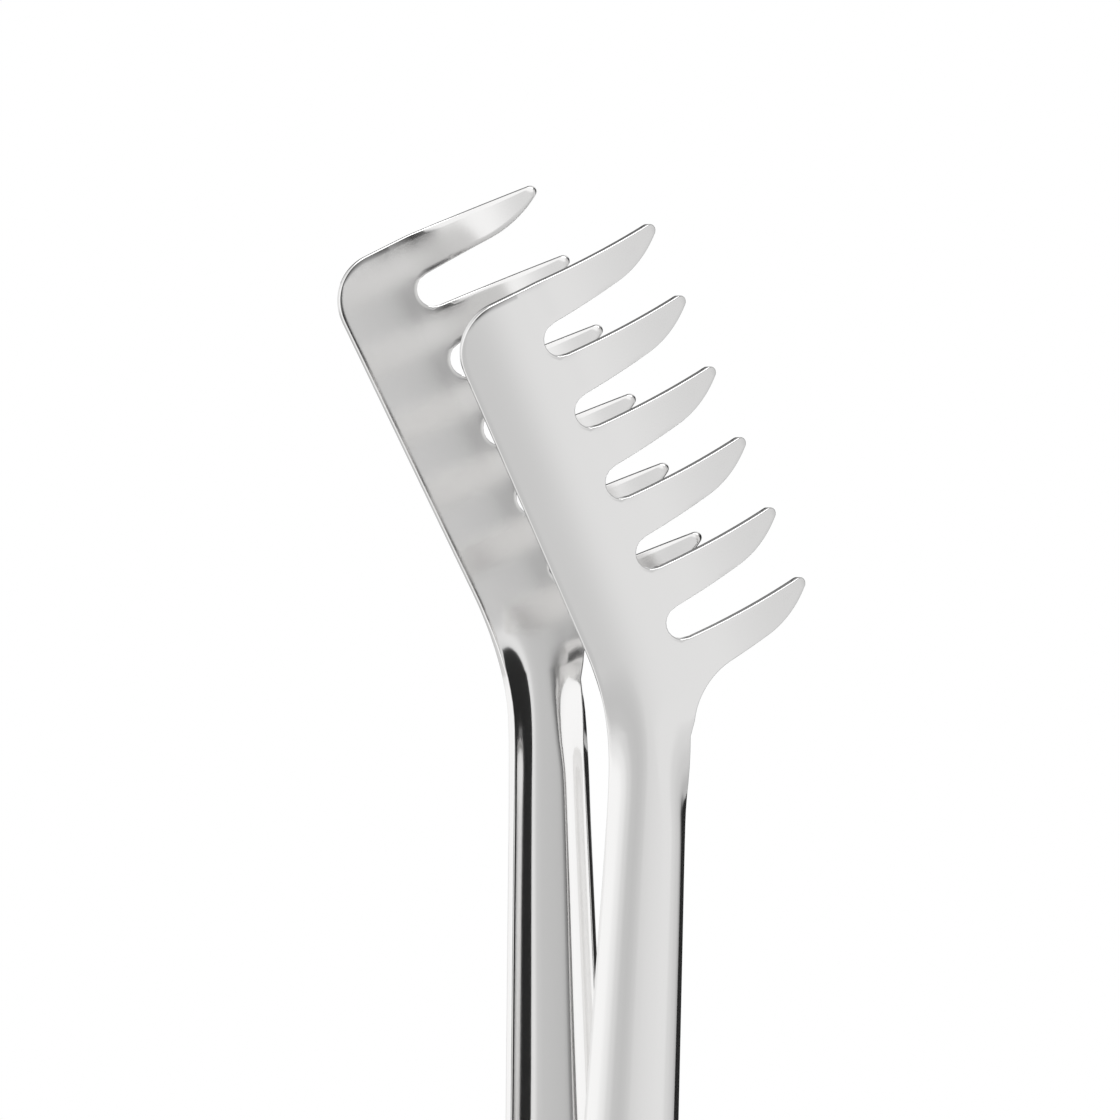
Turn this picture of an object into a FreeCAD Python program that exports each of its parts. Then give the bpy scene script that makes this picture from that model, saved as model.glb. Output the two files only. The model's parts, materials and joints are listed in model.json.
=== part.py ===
"""Sprung serving tongs: two pressed steel arms with comb heads, a riveted hinge and a pull-out lock.

Millimetres. +Z runs from the hanging eye up to the heads, +X is the side that the tines point to.
The near arm is on the -Y side, the far arm on the +Y side, and the tongs stand open.
The origin is the centre of the hanging eye.
"""
import FreeCAD, Part
import os
from math import acos, atan, atan2, cos, hypot, pi, radians, sin, sqrt

Vector = FreeCAD.Vector
ORIGIN = Vector(0, 0, 0)
X_AXIS = Vector(1, 0, 0)
Y_AXIS = Vector(0, 1, 0)
HINGE_UP = 27.0                  # hinge axis above the hanging eye

# Both arms
SHEET = 1.2                      # thickness of the pressed sheet
OPEN_HALF_ANGLE = 6.4            # degrees between each open arm and the centre plane
WEB_OFFSET = 8.0                 # hinge axis to the outer face of the web
NECK_HALF = 5.8                  # half width of the handle at the neck
BASE_HALF = 8.75                 # half width of the handle at the hinge
TAPER_LOW = 30.0                 # the handle is widest below this height above the hinge
BEND_START = 192.0               # height above the hinge where the spine starts to bend
BEND_RADIUS = 50.0               # radius of the spine's bend
HEAD_TILT = 25.5                 # degrees that the head leans over

# Comb head, measured along the spine past its bend and across to the tine side
TINE_COUNT = 6
TINE_PITCH = 11.0
TOP_TINE = 47.4                  # centre line of the top tine
SLOT_ROOT = 5.7                  # end of each slot, from the spine
SLOT_ROOT_RADIUS = 2.45
TINE_TAPER = 0.058               # loss of a tine's half width per mm towards the tip
SWEEP_START = 18.7               # a tine's lower edge sweeps up to the tip beyond this line
SWEEP_RADIUS = 14.5
TIP_ROUND = 0.9                  # radius of each tine's tip
CURL_START = 5.9                 # the tines curl inwards beyond this line
CURL_RADIUS = 36.0
CORNER_RADIUS = 7.0
NECK_FILLET = 9.5                # between the lowest tine and the handle

# Channel section of the handle
BACK_ANGLE = 34.0                # degrees that the back flank turns inwards
TINE_SIDE_ANGLE = 62.0           # the same on the side that the tines point to
FLANK_LENGTH = 1.2               # straight part of a flank
LEVEL_OUT = 4.0                  # past the straight part the sheet turns level again over this length
FLANK_BEND = 5.2                 # arc length of the bend between web and flank
NECK_BEND = 4.2                  # the same at the neck
BACK_FADE = 212.0                # height above the hinge where the back flank has faded out
TINE_SIDE_FADE = 204.0           # the same on the tine side
FADE_LENGTH = 20.0
FULL_BEND_DROP = 60.0            # below the neck the bend widens to its full length over this height
STRAIGHT_NECK = 3.0              # the handle keeps its neck width this far below the spine's bend

# Ears that carry the hinge
SQUARE_TOP = 92.0                # height above the hinge where the flanks start to turn square to the web
SQUARE_LOW = 62.0                # and where they are square
EAR_BEND = 2.6                   # arc length of the tight bend between web and ear
EAR_LENGTH = 16.0
EAR_TOP = 64.0                   # height above the hinge where the flanks deepen into ears
EAR_DEEP = 36.0                  # height above the hinge where they are at full depth
EAR_RADIUS = 6.5                 # ear around the hinge
LOBE_DROP = 14.0                 # hinge axis to the centre of the rounded lower lobe
LOBE_RADIUS = 5.2
WEB_END = 1.0                    # the web stops this far above the hinge axis
EAR_GAP = 0.4                    # between each outer ear and the inner ear beside it

# Hinge
PIN_RADIUS = 2.0
RUNNING = 0.05                   # radial clearance of a part that turns
SEATED = 0.01                    # radial clearance of a part that doesn't turn
HEAD_RADIUS = 3.7                # formed heads of the hinge pin
HEAD_HEIGHT = 1.3
WASHER_THICK = 0.3
WASHER_RADIUS = 4.4
BUSH_RADIUS = 3.0
SIDE_PLAY = 0.08

# Opening spring
WIRE = 1.0
COIL_RADIUS = 3.9                # to the middle of the wire
COIL_TURNS = 5
COIL_PITCH = 1.15
LEG_REACH = 26.0                 # height above the hinge of the ends of the legs
LEG_GAP = 0.1                    # between each leg's end and the web
LEG_STEPS = 8
END_SQUEEZE = 0.2                # how far the end turns of the coil lie closer together

# Lock
LOCK_FREE = 11.5                 # hinge axis to lock pin, tongs free to move
LOCK_TRAVEL = 5.0
LOCK_PIN_RADIUS = 0.8
LOCK_SLOT_HALF = 0.9
LOCK_HEAD_RADIUS = 1.5
LOCK_HEAD_HEIGHT = 0.6
LOCK_PIN_PLAY = 0.15             # between each lock pin head and the ear
LOCK_PLATE = 1.5                 # thickness of the pull plate
CURL_OUTER = 1.9                 # rolled top edge of the pull plate
PLATE_HALF = 5.0
EYE_RADIUS = 4.5
EYE_RIM = 4.0                    # width of metal around the eye
RIM_ROUND = 0.3                  # rounding of the eye's edges
CLOSED_TRAVEL = 13.0             # degrees that the arms close through, until the tine tips meet

# Oversize of the blanks and cutting tools
BLANK_LOW = -26.0                # the pressed blank starts this far below the hinge
BLANK_REACH = 31.0               # and reaches this far from the spine on the tine side
MARGIN = 3.0                     # how far loose outlines stand off the finished edge
CUT_HALF = 30.0                  # half length of the cutting prisms
REACH_RISE = 10.0                # the blank widens to its full reach over this length
EAR_CLEAR = 0.5                  # the ears' trimming starts this far outside the flank's rim
LOOSE_DROP = 20.0                # the outline stands off the back edge from this far below the spine's bend

# Grid of points that the pressed surface passes through
BACK_COLUMNS = 12
TINE_SIDE_COLUMNS = 24
NECK_BELOW = 18.0                # rows lie closer together from this far below the spine's bend
NECK_ABOVE = 8.0                 # to this far above its end
NECK_STEP = 2.0
ROW_STEP = 6.0

# Formed heads, as shares of the head's height, radius and slope
HEAD_RIM = 0.35
HEAD_FLAT = 0.22
HEAD_BULGE = 0.15


def smooth(x):
    """Rises from 0 to 1 with no kink at either end."""
    x = min(max(x, 0.0), 1.0)
    return x * x * (3 - 2 * x)


def mix(low, high, share):
    return low + (high - low) * share


# ---------------------------------------------------------------- the arm's pressed surface
# Plan coordinates (t, z): t across the web, z up from the hinge. Depth h runs inwards from the web.
BETA = radians(HEAD_TILT)
BEND_ARC = BEND_RADIUS * BETA
BEND_END = BEND_START + BEND_ARC


def spine(s):
    """Plan position of the spine at length s above the hinge, and the row's turn there."""
    turn = min(max(s - BEND_START, 0.0) / BEND_RADIUS, BETA)
    beyond = max(s - BEND_END, 0.0)
    t = BEND_RADIUS * (cos(turn) - 1) - beyond * sin(BETA)
    z = min(s, BEND_START) + BEND_RADIUS * sin(turn) + beyond * cos(BETA)
    return t, z, turn


def head_point(along, across):
    """Plan position of a place on the head."""
    t, z, _ = spine(BEND_END)
    return (t - along * sin(BETA) + across * cos(BETA), z + along * cos(BETA) + across * sin(BETA))


def curl(t, z):
    """Inward curl of the tines: depth at a plan position."""
    t0, z0, _ = spine(BEND_END)
    across = (t - t0) * cos(BETA) + (z - z0) * sin(BETA)
    return max(across - CURL_START, 0.0) ** 2 / (2 * CURL_RADIUS)


def half_width(s, tuck):
    taper_top = BEND_START - STRAIGHT_NECK
    rise = min(max((taper_top - s) / (taper_top - TAPER_LOW), 0.0), 1.0)
    return mix(NECK_HALF, BASE_HALF, sin(rise * pi / 2)) - tuck * smooth((EAR_TOP - s) / (EAR_TOP - EAR_DEEP))


def flank(s, full_angle, fade_end):
    """Turn angle, bend length and straight length of a flank at length s."""
    ear = smooth((EAR_TOP - s) / (EAR_TOP - EAR_DEEP))
    square = smooth((SQUARE_TOP - s) / (SQUARE_TOP - SQUARE_LOW))
    fade = smooth((fade_end - s) / FADE_LENGTH)
    angle = radians(mix(full_angle, 90.0, square)) * fade
    bend = mix(mix(NECK_BEND, FLANK_BEND, smooth((BEND_START - s) / FULL_BEND_DROP)), EAR_BEND, square)
    straight = mix(FLANK_LENGTH, EAR_LENGTH, ear)
    return angle, bend, straight


def section(width, angle, bend, straight, reach, count):
    """Offsets and depths from the spine to the rim of one flank, in count equal steps."""
    fine = 12                    # integration steps to each step that is kept
    turns = [angle * smooth((i + 0.5) / fine) for i in range(fine)]
    bend_in = sum(cos(turn) for turn in turns) * bend / fine
    flat = width - bend_in - straight * cos(angle)
    step = (flat + bend + straight + reach) / (count * fine)
    offsets, depths = [0.0], [0.0]
    for i in range(count * fine):
        along = (i + 0.5) * step - flat
        turn = angle * (smooth(along / bend) - smooth((along - bend - straight) / LEVEL_OUT))
        offsets.append(offsets[-1] + cos(turn) * step)
        depths.append(depths[-1] + sin(turn) * step)
    return offsets[::fine], depths[::fine]


def row(s, tuck):
    """Outer-face points of the arm at spine length s, from the back rim to the tine side."""
    t0, z0, turn = spine(s)
    width = half_width(s, tuck)
    reach = (BLANK_REACH - NECK_HALF) * smooth((s - BEND_START - STRAIGHT_NECK) / REACH_RISE)
    left = section(width, *flank(s, BACK_ANGLE, BACK_FADE), 0.0, BACK_COLUMNS)
    right = section(width, *flank(s, TINE_SIDE_ANGLE, TINE_SIDE_FADE), reach, TINE_SIDE_COLUMNS)
    points = []
    for sign, (offsets, depths) in ((-1, left), (1, right)):
        side = []
        for offset, depth in zip(offsets, depths):
            t, z = t0 + sign * offset * cos(turn), z0 + sign * offset * sin(turn)
            side.append(Vector(t, depth + curl(t, z) - WEB_OFFSET, z))
        points += side[:0:-1] if sign < 0 else side
    return points


def inner_of(grid):
    """The same grid moved inwards by the sheet's thickness."""
    rows, cols = len(grid), len(grid[0])
    moved = []
    for i in range(rows):
        line = []
        for j in range(cols):
            along = grid[min(i + 1, rows - 1)][j] - grid[max(i - 1, 0)][j]
            across = grid[i][min(j + 1, cols - 1)] - grid[i][max(j - 1, 0)]
            normal = along.cross(across)
            line.append(grid[i][j] + normal.normalize() * SHEET)
        moved.append(line)
    return moved


def blank(tuck):
    """The pressed sheet of one arm before its outline is cut."""
    top = BEND_END + TOP_TINE + TINE_PITCH
    stations, s = [], BLANK_LOW
    while s < top:
        stations.append(s)
        around_neck = BEND_START - NECK_BELOW <= s < BEND_END + NECK_ABOVE
        s += NECK_STEP if around_neck else ROW_STEP
    outer = [row(s, tuck) for s in stations + [top]]
    faces, edges = [], []
    for grid in (outer, inner_of(outer)):
        surface = Part.BSplineSurface()
        surface.interpolate(grid)
        faces.append(surface.toShape())
        u_low, u_high, v_low, v_high = surface.bounds()
        edges.append([surface.vIso(v_low), surface.vIso(v_high), surface.uIso(u_low), surface.uIso(u_high)])
    for a, b in zip(*edges):
        faces.append(Part.makeRuledSurface(a.toShape(), b.toShape(), 1))
    shell = Part.makeShell(faces)
    shell.sewShape(1e-5)
    solid = Part.makeSolid(shell)
    if solid.Volume < 0:
        solid.reverse()
    return solid


# ---------------------------------------------------------------- outline of the head
ROOT_LINE = SLOT_ROOT + SLOT_ROOT_RADIUS       # the tines' long edges start here
TINES = [TOP_TINE - TINE_PITCH * i for i in range(TINE_COUNT)]


def tine_half(across):
    return TINE_PITCH / 2 - SLOT_ROOT_RADIUS - TINE_TAPER * (across - ROOT_LINE)


def plan(along, across):
    t, z = head_point(along, across)
    return Vector(t, 0, z)


def tip_circles():
    """Centres of the tip's rounding and of the sweep below it: x is across, y is above the tine's centre."""
    lean = atan(TINE_TAPER)
    low = Vector(SWEEP_START, -tine_half(SWEEP_START), 0)
    sweep = low + Vector(-sin(lean), cos(lean), 0) * SWEEP_RADIUS
    edge = Vector(ROOT_LINE, tine_half(ROOT_LINE), 0) - Vector(sin(lean), cos(lean), 0) * TIP_ROUND
    heading = Vector(cos(lean), -sin(lean), 0)
    gap = edge - sweep
    reach = (SWEEP_RADIUS - TIP_ROUND) ** 2 - gap.Length ** 2
    tip = edge + heading * (sqrt(gap.dot(heading) ** 2 + reach) - gap.dot(heading))
    return tip, sweep


def tine_edges(centre):
    """Edges of one tine, from its upper root round the tip to its lower root."""
    lean = atan(TINE_TAPER)
    tip, sweep = tip_circles()
    upper, lower = Vector(sin(lean), cos(lean), 0), Vector(sin(lean), -cos(lean), 0)
    join = (tip - sweep).normalize()

    def place(point):
        return plan(centre + point.y, point.x)

    high = [place(Vector(ROOT_LINE, tine_half(ROOT_LINE), 0)), place(tip + upper * TIP_ROUND)]
    end = [place(tip + (upper + join).normalize() * TIP_ROUND), place(tip + join * TIP_ROUND)]
    under = [place(sweep + (lower + join).normalize() * SWEEP_RADIUS), place(sweep + lower * SWEEP_RADIUS)]
    low = place(Vector(ROOT_LINE, -tine_half(ROOT_LINE), 0))
    return [Part.makeLine(high[0], high[1]), Part.Arc(high[1], end[0], end[1]).toShape(),
            Part.Arc(end[1], under[0], under[1]).toShape(), Part.makeLine(under[1], low)]


def first_point(edge):
    return edge.valueAt(edge.FirstParameter)


def last_point(edge):
    return edge.valueAt(edge.LastParameter)


def outline():
    """Closed plan outline of the arm, exact on the head's top, tines and neck, loose elsewhere."""
    top_edge = TINES[0] + tine_half(ROOT_LINE)
    cut = CORNER_RADIUS * (1 - cos(pi / 4))
    corner = [plan(top_edge - CORNER_RADIUS, -NECK_HALF), plan(top_edge - cut, cut - NECK_HALF),
              plan(top_edge, CORNER_RADIUS - NECK_HALF)]
    loose = plan(top_edge - CORNER_RADIUS, -NECK_HALF - MARGIN)
    combs = [tine_edges(centre) for centre in TINES]
    edges = [Part.makeLine(loose, corner[0]), Part.Arc(*corner).toShape(),
             Part.makeLine(corner[2], first_point(combs[0][0]))]
    for centre, comb, after in zip(TINES, combs, combs[1:]):
        root = plan(centre - TINE_PITCH / 2, SLOT_ROOT)
        edges += comb + [Part.Arc(last_point(comb[-1]), root, first_point(after[0])).toShape()]
    edges += combs[-1][:-1]
    edges += neck_edges(first_point(combs[-1][-1]))
    last = last_point(edges[-1])
    below = Vector(last.x, 0, BLANK_LOW - MARGIN)
    left = Vector(-BASE_HALF - MARGIN, 0, below.z)
    left_up = Vector(left.x, 0, BEND_START - LOOSE_DROP)
    for start, end in ((last, below), (below, left), (left, left_up), (left_up, loose)):
        edges.append(Part.makeLine(start, end))
    return Part.Wire(edges)


def neck_edges(start):
    """Lower edge of the lowest tine, and the fillet that runs into the handle's side."""
    slope = BETA + atan(TINE_TAPER)
    along = Vector(cos(slope), 0, sin(slope))
    inwards = Vector(sin(slope), 0, -cos(slope))
    base = start + inwards * NECK_FILLET
    fillet = base + along * ((NECK_HALF + NECK_FILLET - base.x) / along.x)
    touch = fillet - inwards * NECK_FILLET
    middle_angle = (slope + pi / 2) / 2
    middle = fillet + Vector(-sin(middle_angle), 0, cos(middle_angle)) * NECK_FILLET
    foot = fillet - Vector(NECK_FILLET, 0, 0)
    below = foot - Vector(0, 0, MARGIN)
    out = Vector(BASE_HALF + MARGIN, 0, below.z - MARGIN)
    return [Part.makeLine(start, touch), Part.Arc(touch, middle, foot).toShape(),
            Part.makeLine(foot, below), Part.makeLine(below, out)]


def prism(wire, heading):
    """Cutting tool: the wire's face stretched both ways along a direction."""
    face = Part.Face(wire)
    face.translate(heading * -CUT_HALF)
    return face.extrude(heading * (2 * CUT_HALF))


# ---------------------------------------------------------------- outline of the ears
def side(y, z):
    return Vector(0, y, z)


def tangent_points(centre_a, radius_a, centre_b, radius_b, sign):
    """Ends of the straight line that touches two circles on the same side."""
    gap = centre_b - centre_a
    spread = atan((radius_a - radius_b) / (gap.Length ** 2 - (radius_a - radius_b) ** 2) ** 0.5)
    heading = gap.normalize()
    normal = Vector(0, -heading.z * sign, heading.y * sign)
    tilted = normal * cos(spread) + heading * sin(spread)
    return centre_a + tilted * radius_a, centre_b + tilted * radius_b


def ear_waste():
    """Everything that is trimmed off the ears, as a wire in the side view."""
    hinge, lobe = side(0, 0), side(0, -LOBE_DROP)
    right_a, right_b = tangent_points(hinge, EAR_RADIUS, lobe, LOBE_RADIUS, 1)
    left_a, left_b = tangent_points(hinge, EAR_RADIUS, lobe, LOBE_RADIUS, -1)
    _, depths = section(half_width(EAR_TOP, 0), *flank(EAR_TOP, BACK_ANGLE, BACK_FADE), 0.0, BACK_COLUMNS)
    rim = side(depths[-1] - WEB_OFFSET + EAR_CLEAR, EAR_TOP + MARGIN)
    rise = rim - hinge
    turn = radians(90) - atan(EAR_RADIUS / (rise.Length ** 2 - EAR_RADIUS ** 2) ** 0.5)
    heading = rise.normalize()
    across = Vector(0, heading.z, -heading.y)
    shoulder = (heading * cos(turn) + across * sin(turn)) * EAR_RADIUS
    web_corner = side(-(EAR_RADIUS ** 2 - WEB_END ** 2) ** 0.5, WEB_END)
    far_y, near_y, low_z = 14.0, -12.0, BLANK_LOW - 2 * MARGIN
    return Part.Wire([
        Part.makeLine(side(near_y, WEB_END), web_corner),
        Part.Arc(web_corner, side(-EAR_RADIUS, 0), left_a).toShape(),
        Part.makeLine(left_a, left_b),
        Part.Arc(left_b, side(0, -LOBE_DROP - LOBE_RADIUS), right_b).toShape(),
        Part.makeLine(right_b, right_a),
        Part.Arc(right_a, side(EAR_RADIUS, 0), shoulder).toShape(),
        Part.makeLine(shoulder, rim),
        Part.makeLine(rim, side(far_y, rim.z)),
        Part.makeLine(side(far_y, rim.z), side(far_y, low_z)),
        Part.makeLine(side(far_y, low_z), side(near_y, low_z)),
        Part.makeLine(side(near_y, low_z), side(near_y, WEB_END)),
    ])


def cross_hole(radius):
    return Part.makeCylinder(radius, 2 * CUT_HALF, X_AXIS * -CUT_HALF, X_AXIS)


def polar(radius, angle):
    """A place below the hinge, in the side view, angle in degrees towards +Y."""
    return side(radius * sin(radians(angle)), -radius * cos(radians(angle)))


def leg_slot(angle):
    """Straight slot for the lock pin, along a radius of the hinge."""
    start, end = polar(LOCK_FREE, angle), polar(LOCK_FREE + LOCK_TRAVEL, angle)
    run = (end - start).normalize()
    wide = Vector(0, -run.z, run.y) * LOCK_SLOT_HALF
    nose, tail = start - run * LOCK_SLOT_HALF, end + run * LOCK_SLOT_HALF
    wire = Part.Wire([
        Part.makeLine(start + wide, end + wide), Part.Arc(end + wide, tail, end - wide).toShape(),
        Part.makeLine(end - wide, start - wide), Part.Arc(start - wide, nose, start + wide).toShape()])
    return prism(wire, X_AXIS)


def arc_slot():
    """Curved slot that lets the lock pin pass while the arms open and close."""
    inner, outer = LOCK_FREE - LOCK_SLOT_HALF, LOCK_FREE + LOCK_SLOT_HALF
    half = CLOSED_TRAVEL / 2
    wire = Part.Wire([
        Part.Arc(polar(inner, 0), polar(inner, half), polar(inner, 2 * half)).toShape(),
        Part.makeLine(polar(inner, 2 * half), polar(outer, 2 * half)),
        Part.Arc(polar(outer, 2 * half), polar(outer, half), polar(outer, 0)).toShape(),
        Part.makeLine(polar(outer, 0), polar(inner, 0))])
    return prism(wire, X_AXIS)


# ---------------------------------------------------------------- arms
def placed(shape):
    """From hinge coordinates to the row's frame."""
    moved = shape.copy()
    moved.translate(Vector(0, 0, HINGE_UP))
    return moved


def arm(tuck, hole_radius):
    """One arm on the -Y side, tilted open about the hinge."""
    shape = blank(tuck).common(prism(outline(), Y_AXIS))
    shape = shape.cut(prism(ear_waste(), X_AXIS))
    shape = shape.cut(cross_hole(hole_radius))
    shape.rotate(ORIGIN, X_AXIS, OPEN_HALF_ANGLE)
    return shape


def near_arm():
    """Its ears are tucked inside the other arm's ears."""
    shape = arm(SHEET + EAR_GAP, PIN_RADIUS + RUNNING)
    for cutter in (arc_slot(), leg_slot(0), leg_slot(CLOSED_TRAVEL)):
        shape = shape.cut(cutter)
    return shape


def far_arm():
    shape = arm(0.0, PIN_RADIUS + SEATED).mirror(ORIGIN, Y_AXIS)
    return shape.cut(leg_slot(0))


# ---------------------------------------------------------------- hinge
def tube(outer, inner, x_low, x_high):
    body = Part.makeCylinder(outer, x_high - x_low, Vector(x_low, 0, 0), X_AXIS)
    return body.cut(Part.makeCylinder(inner, x_high - x_low, Vector(x_low, 0, 0), X_AXIS))


def domed_head(radius, height, x, z, facing):
    """Formed rivet head: a short straight rim under a crown that is an arc in section."""
    rim = HEAD_RIM * height
    flat = HEAD_FLAT * radius
    corner, crown, top = Vector(rim, radius, 0), Vector(height, flat, 0), Vector(height, 0, 0)
    chord = crown - corner
    bulge = (corner + crown) * 0.5 + Vector(-chord.y, chord.x, 0) * HEAD_BULGE
    profile = Part.Wire([
        Part.makeLine(ORIGIN, Vector(0, radius, 0)), Part.makeLine(Vector(0, radius, 0), corner),
        Part.Arc(corner, bulge, crown).toShape(), Part.makeLine(crown, top), Part.makeLine(top, ORIGIN)])
    head = Part.Face(profile).revolve(ORIGIN, X_AXIS, 360)
    if facing < 0:
        head = head.mirror(ORIGIN, X_AXIS)
    head.translate(Vector(x, 0, z))
    return head


def headed_pin(radius, half_length, head_radius, head_height, z):
    shank = Part.makeCylinder(radius, 2 * half_length, Vector(-half_length, 0, z), X_AXIS)
    heads = [domed_head(head_radius, head_height, sign * half_length, z, sign) for sign in (-1, 1)]
    return shank.fuse(heads).removeSplitter()


def hinge_pin():
    return headed_pin(PIN_RADIUS, BASE_HALF + SIDE_PLAY / 2, HEAD_RADIUS, HEAD_HEIGHT, 0.0)


def hinge_bush():
    half = BASE_HALF - 2 * SHEET - EAR_GAP - SIDE_PLAY
    return tube(BUSH_RADIUS, PIN_RADIUS + SEATED, -half, half)


def hinge_washer(sign):
    middle = sign * (BASE_HALF - SHEET - EAR_GAP / 2)
    return tube(WASHER_RADIUS, PIN_RADIUS + RUNNING, middle - WASHER_THICK / 2, middle + WASHER_THICK / 2)


def opening_spring():
    """Torsion spring around the bush, with a leg along the inside of each arm's web."""
    half = COIL_TURNS * COIL_PITCH / 2
    clear = WEB_OFFSET - SHEET - WIRE / 2 - LEG_GAP
    tilt = radians(OPEN_HALF_ANGLE)
    leg_y = clear * cos(tilt) + LEG_REACH * sin(tilt)
    # A leg leaves the coil along the tangent that passes through its end.
    dip = acos(COIL_RADIUS / hypot(leg_y, LEG_REACH)) - atan2(LEG_REACH, leg_y)
    turning = 2 * pi * COIL_TURNS + pi - 2 * dip
    near_end, far_end = Vector(-half, -leg_y, LEG_REACH), Vector(half, leg_y, LEG_REACH)
    steps = 20 * COIL_TURNS
    coil = []
    for i in range(steps + 1):
        angle = pi + dip + turning * i / steps
        x = half * mix(2 * i / steps - 1, 2 * smooth(i / steps) - 1, END_SQUEEZE)
        coil.append(Vector(x, COIL_RADIUS * cos(angle), COIL_RADIUS * sin(angle)))
    near_leg = [near_end + (coil[0] - near_end) * (i / LEG_STEPS) for i in range(LEG_STEPS)]
    far_leg = [coil[-1] + (far_end - coil[-1]) * ((i + 1) / LEG_STEPS) for i in range(LEG_STEPS)]
    path = Part.BSplineCurve()
    path.interpolate(near_leg + coil + far_leg)
    heading = path.tangent(path.FirstParameter)[0]
    ring = Part.Wire(Part.makeCircle(WIRE / 2, near_end, heading))
    return Part.Wire(path.toShape()).makePipeShell([ring], True, False)


# ---------------------------------------------------------------- lock
def lock_slide():
    """Pull plate: its top edge is rolled round the lock pin, and its lower end is the hanging eye."""
    pin_z = HINGE_UP - LOCK_FREE
    half = PLATE_HALF
    eye_outer = EYE_RADIUS + EYE_RIM
    neck_z = (eye_outer ** 2 - half ** 2) ** 0.5
    top = pin_z - CURL_OUTER / 2
    plate = Part.makeBox(2 * half, LOCK_PLATE, top - neck_z, Vector(-half, -LOCK_PLATE / 2, neck_z))
    disc = Part.makeCylinder(eye_outer, LOCK_PLATE, Y_AXIS * (-LOCK_PLATE / 2), Y_AXIS)
    curl_tube = Part.makeCylinder(CURL_OUTER, 2 * half, Vector(-half, 0, pin_z), X_AXIS)
    bore = Part.makeCylinder(LOCK_PIN_RADIUS + SEATED, 2 * half, Vector(-half, 0, pin_z), X_AXIS)
    eye = Part.makeCylinder(EYE_RADIUS, 2 * LOCK_PLATE, Y_AXIS * -LOCK_PLATE, Y_AXIS)
    body = plate.fuse([disc, curl_tube]).cut(bore).cut(eye).removeSplitter()
    rims = [e for e in body.Edges if e.Curve.TypeId == "Part::GeomCircle"
            and abs(e.Curve.Axis.y) > 0.99 and abs(e.Curve.Center.z) < 1e-6]
    return body.makeFillet(RIM_ROUND, rims)


def lock_pin():
    half = BASE_HALF + LOCK_PIN_PLAY
    return headed_pin(LOCK_PIN_RADIUS, half, LOCK_HEAD_RADIUS, LOCK_HEAD_HEIGHT, -LOCK_FREE)


def build():
    parts = {
        "near_arm": placed(near_arm()),
        "far_arm": placed(far_arm()),
        "hinge_pin": placed(hinge_pin()),
        "hinge_bush": placed(hinge_bush()),
        "hinge_washer_left": placed(hinge_washer(-1)),
        "hinge_washer_right": placed(hinge_washer(1)),
        "opening_spring": placed(opening_spring()),
        "lock_slide": lock_slide(),
        "lock_pin": placed(lock_pin()),
    }
    os.makedirs("parts", exist_ok=True)
    for name, shape in parts.items():
        print(name, shape.isValid(), len(shape.Solids), round(shape.Volume, 1))
        shape.exportStep("parts/" + name + ".step")


build()
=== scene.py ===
"""Finished looks for the comb-headed tongs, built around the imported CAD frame.

The two pressed arms are rebuilt as smooth sheets with rounded rims, and the spring as a wound wire.
Shapes are worked out in millimetres from the hinge, then written in metres in the frame's own place.
"""
import json
from math import acos, atan, atan2, cos, hypot, pi, radians, sin, sqrt

import bmesh
import bpy
import numpy as np
from mathutils import Matrix, Vector


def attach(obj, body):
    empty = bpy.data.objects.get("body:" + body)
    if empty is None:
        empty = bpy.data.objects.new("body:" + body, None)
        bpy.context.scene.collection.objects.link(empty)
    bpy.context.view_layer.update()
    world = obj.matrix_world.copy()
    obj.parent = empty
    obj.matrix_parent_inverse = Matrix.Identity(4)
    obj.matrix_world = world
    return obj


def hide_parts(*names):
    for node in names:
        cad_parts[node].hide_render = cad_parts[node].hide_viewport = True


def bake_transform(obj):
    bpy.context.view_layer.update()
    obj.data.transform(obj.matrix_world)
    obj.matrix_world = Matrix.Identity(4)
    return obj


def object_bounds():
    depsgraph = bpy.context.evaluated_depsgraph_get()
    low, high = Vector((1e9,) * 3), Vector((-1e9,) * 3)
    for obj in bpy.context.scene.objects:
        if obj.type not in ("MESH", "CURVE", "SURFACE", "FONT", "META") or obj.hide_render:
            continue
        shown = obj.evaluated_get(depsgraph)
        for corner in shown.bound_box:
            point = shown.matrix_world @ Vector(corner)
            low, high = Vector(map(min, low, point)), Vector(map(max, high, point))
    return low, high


MM = 0.001
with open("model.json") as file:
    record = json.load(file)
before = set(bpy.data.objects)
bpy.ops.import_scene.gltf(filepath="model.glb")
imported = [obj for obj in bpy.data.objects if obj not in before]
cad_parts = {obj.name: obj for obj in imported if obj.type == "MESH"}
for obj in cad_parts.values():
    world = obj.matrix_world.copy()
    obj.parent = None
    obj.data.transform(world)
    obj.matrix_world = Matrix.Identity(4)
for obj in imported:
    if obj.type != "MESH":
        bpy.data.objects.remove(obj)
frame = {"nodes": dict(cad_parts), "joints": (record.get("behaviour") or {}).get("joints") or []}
cad_low, cad_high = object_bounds()
joints = {joint["name"]: joint for joint in frame["joints"]}
HINGE = Vector(joints["arm_hinge"]["pos_m"])
CLOSED_TRAVEL = joints["arm_hinge"]["range_deg"][1]
LOCK_TRAVEL = joints["lock_travel"]["range_m"][1] / MM

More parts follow.
